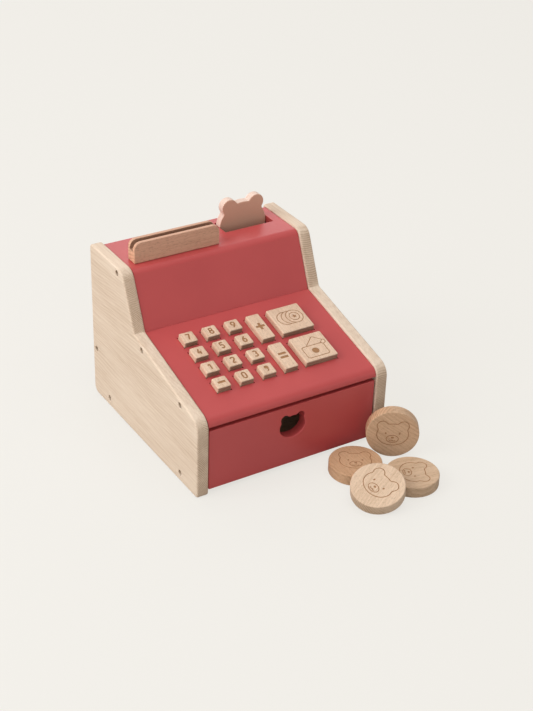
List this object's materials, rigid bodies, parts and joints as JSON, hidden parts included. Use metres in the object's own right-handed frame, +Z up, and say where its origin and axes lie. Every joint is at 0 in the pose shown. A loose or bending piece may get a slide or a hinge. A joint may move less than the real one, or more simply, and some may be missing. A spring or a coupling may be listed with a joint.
{
  "type": "toy cash register",
  "caption": "Wooden toy cash register with sloping keypad, press keys, card holder, rocking bear-head lever, pull-out drawer and loose play coins.",
  "frame": {"origin": "on the table, under the middle of the bounding box of the whole set, the register and its four play coins", "axes": "+Z up, +Y from the drawer front towards the back, +X to the right as the user faces the keys"},
  "size_m": [0.2142, 0.3096, 0.1838],
  "materials": {
    "side_wood": "bare pale solid wood with straight grain, oiled",
    "red_paint": "wood board painted satin apple red",
    "beech": "bare beech, fine flecks, laser-engraved marks",
    "rose_paint": "wood plate painted matt rose beige",
    "inner_wood": "raw plywood, unfinished",
    "foam": "dark soft foam sheet",
    "steel": "dark zinc-plated steel",
    "coin_wood": "bare beech play coin, laser-engraved face"
  },
  "bodies": {
    "housing": {"side_panel_left": "side_wood", "side_panel_right": "side_wood", "top_panel": "red_paint", "display_panel": "red_paint", "keypad_panel": "red_paint", "back_panel": "red_paint", "bottom_panel": "inner_wood", "key_bed": "inner_wood", "key_foam_mat": "foam", "drawer_stop_rail": "inner_wood", "card_holder": "beech", "lever_axle": "steel", "screw_left_1": "steel", "screw_left_2": "steel", "screw_left_3": "steel", "screw_left_4": "steel", "screw_left_5": "steel", "screw_left_6": "steel", "screw_right_1": "steel", "screw_right_2": "steel", "screw_right_3": "steel", "screw_right_4": "steel", "screw_right_5": "steel", "screw_right_6": "steel"},
    "drawer": {"drawer_front": "red_paint", "drawer_side_left": "inner_wood", "drawer_side_right": "inner_wood", "drawer_back": "inner_wood", "drawer_bottom": "inner_wood"},
    "lever": {"lever_plate": "rose_paint"},
    "key_0": {"key_0": "beech"},
    "key_1": {"key_1": "beech"},
    "key_2": {"key_2": "beech"},
    "key_3": {"key_3": "beech"},
    "key_4": {"key_4": "beech"},
    "key_5": {"key_5": "beech"},
    "key_6": {"key_6": "beech"},
    "key_7": {"key_7": "beech"},
    "key_8": {"key_8": "beech"},
    "key_9": {"key_9": "beech"},
    "key_comma": {"key_comma": "beech"},
    "key_minus": {"key_minus": "beech"},
    "key_plus": {"key_plus": "beech"},
    "key_equals": {"key_equals": "beech"},
    "key_coins": {"key_coins": "beech"},
    "key_purse": {"key_purse": "beech"},
    "play_coin_left": {"play_coin_left": "coin_wood"},
    "play_coin_right": {"play_coin_right": "coin_wood"},
    "play_coin_propped": {"play_coin_propped": "coin_wood"},
    "play_coin_upright": {"play_coin_upright": "coin_wood"}
  },
  "joints": [
    {"name": "drawer_slide", "type": "slide", "parent": "housing", "child": "drawer", "axis": [0, -1, 0], "range_m": [0, 0.105]},
    {"name": "bear_lever_swing", "type": "hinge", "parent": "housing", "child": "lever", "pos_m": [0.04438, 0.13566, 0.122], "axis": [1, 0, 0], "range_deg": [0, 15]},
    {"name": "key_0_press", "type": "slide", "parent": "housing", "child": "key_0", "axis": [0, 0.2396, -0.9709], "range_m": [0, 0.003], "stiffness_N_per_m": 300, "springref_m": -0.001, "deforming": ["key_foam_mat"]},
    {"name": "key_1_press", "type": "slide", "parent": "housing", "child": "key_1", "axis": [0, 0.2396, -0.9709], "range_m": [0, 0.003], "stiffness_N_per_m": 300, "springref_m": -0.001, "deforming": ["key_foam_mat"]},
    {"name": "key_2_press", "type": "slide", "parent": "housing", "child": "key_2", "axis": [0, 0.2396, -0.9709], "range_m": [0, 0.003], "stiffness_N_per_m": 300, "springref_m": -0.001, "deforming": ["key_foam_mat"]},
    {"name": "key_3_press", "type": "slide", "parent": "housing", "child": "key_3", "axis": [0, 0.2396, -0.9709], "range_m": [0, 0.003], "stiffness_N_per_m": 300, "springref_m": -0.001, "deforming": ["key_foam_mat"]},
    {"name": "key_4_press", "type": "slide", "parent": "housing", "child": "key_4", "axis": [0, 0.2396, -0.9709], "range_m": [0, 0.003], "stiffness_N_per_m": 300, "springref_m": -0.001, "deforming": ["key_foam_mat"]},
    {"name": "key_5_press", "type": "slide", "parent": "housing", "child": "key_5", "axis": [0, 0.2396, -0.9709], "range_m": [0, 0.003], "stiffness_N_per_m": 300, "springref_m": -0.001, "deforming": ["key_foam_mat"]},
    {"name": "key_6_press", "type": "slide", "parent": "housing", "child": "key_6", "axis": [0, 0.2396, -0.9709], "range_m": [0, 0.003], "stiffness_N_per_m": 300, "springref_m": -0.001, "deforming": ["key_foam_mat"]},
    {"name": "key_7_press", "type": "slide", "parent": "housing", "child": "key_7", "axis": [0, 0.2396, -0.9709], "range_m": [0, 0.003], "stiffness_N_per_m": 300, "springref_m": -0.001, "deforming": ["key_foam_mat"]},
    {"name": "key_8_press", "type": "slide", "parent": "housing", "child": "key_8", "axis": [0, 0.2396, -0.9709], "range_m": [0, 0.003], "stiffness_N_per_m": 300, "springref_m": -0.001, "deforming": ["key_foam_mat"]},
    {"name": "key_9_press", "type": "slide", "parent": "housing", "child": "key_9", "axis": [0, 0.2396, -0.9709], "range_m": [0, 0.003], "stiffness_N_per_m": 300, "springref_m": -0.001, "deforming": ["key_foam_mat"]},
    {"name": "key_comma_press", "type": "slide", "parent": "housing", "child": "key_comma", "axis": [0, 0.2396, -0.9709], "range_m": [0, 0.003], "stiffness_N_per_m": 300, "springref_m": -0.001, "deforming": ["key_foam_mat"]},
    {"name": "key_minus_press", "type": "slide", "parent": "housing", "child": "key_minus", "axis": [0, 0.2396, -0.9709], "range_m": [0, 0.003], "stiffness_N_per_m": 300, "springref_m": -0.001, "deforming": ["key_foam_mat"]},
    {"name": "key_plus_press", "type": "slide", "parent": "housing", "child": "key_plus", "axis": [0, 0.2396, -0.9709], "range_m": [0, 0.003], "stiffness_N_per_m": 300, "springref_m": -0.001, "deforming": ["key_foam_mat"]},
    {"name": "key_equals_press", "type": "slide", "parent": "housing", "child": "key_equals", "axis": [0, 0.2396, -0.9709], "range_m": [0, 0.003], "stiffness_N_per_m": 300, "springref_m": -0.001, "deforming": ["key_foam_mat"]},
    {"name": "key_coins_press", "type": "slide", "parent": "housing", "child": "key_coins", "axis": [0, 0.2396, -0.9709], "range_m": [0, 0.003], "stiffness_N_per_m": 300, "springref_m": -0.001, "deforming": ["key_foam_mat"]},
    {"name": "key_purse_press", "type": "slide", "parent": "housing", "child": "key_purse", "axis": [0, 0.2396, -0.9709], "range_m": [0, 0.003], "stiffness_N_per_m": 300, "springref_m": -0.001, "deforming": ["key_foam_mat"]},
    {"name": "play_coin_left_move", "type": "slide", "parent": "drawer", "child": "play_coin_left", "axis": [-0.9806, 0.1961, 0], "range_m": [0, 0.04]},
    {"name": "play_coin_right_move", "type": "slide", "parent": "drawer", "child": "play_coin_right", "axis": [1, 0, 0], "range_m": [0, 0.04]},
    {"name": "play_coin_propped_move", "type": "slide", "parent": "drawer", "child": "play_coin_propped", "axis": [0, 0, 1], "range_m": [0, 0.04]},
    {"name": "play_coin_upright_move", "type": "slide", "parent": "drawer", "child": "play_coin_upright", "axis": [0, 0, 1], "range_m": [0, 0.04]}
  ]
}
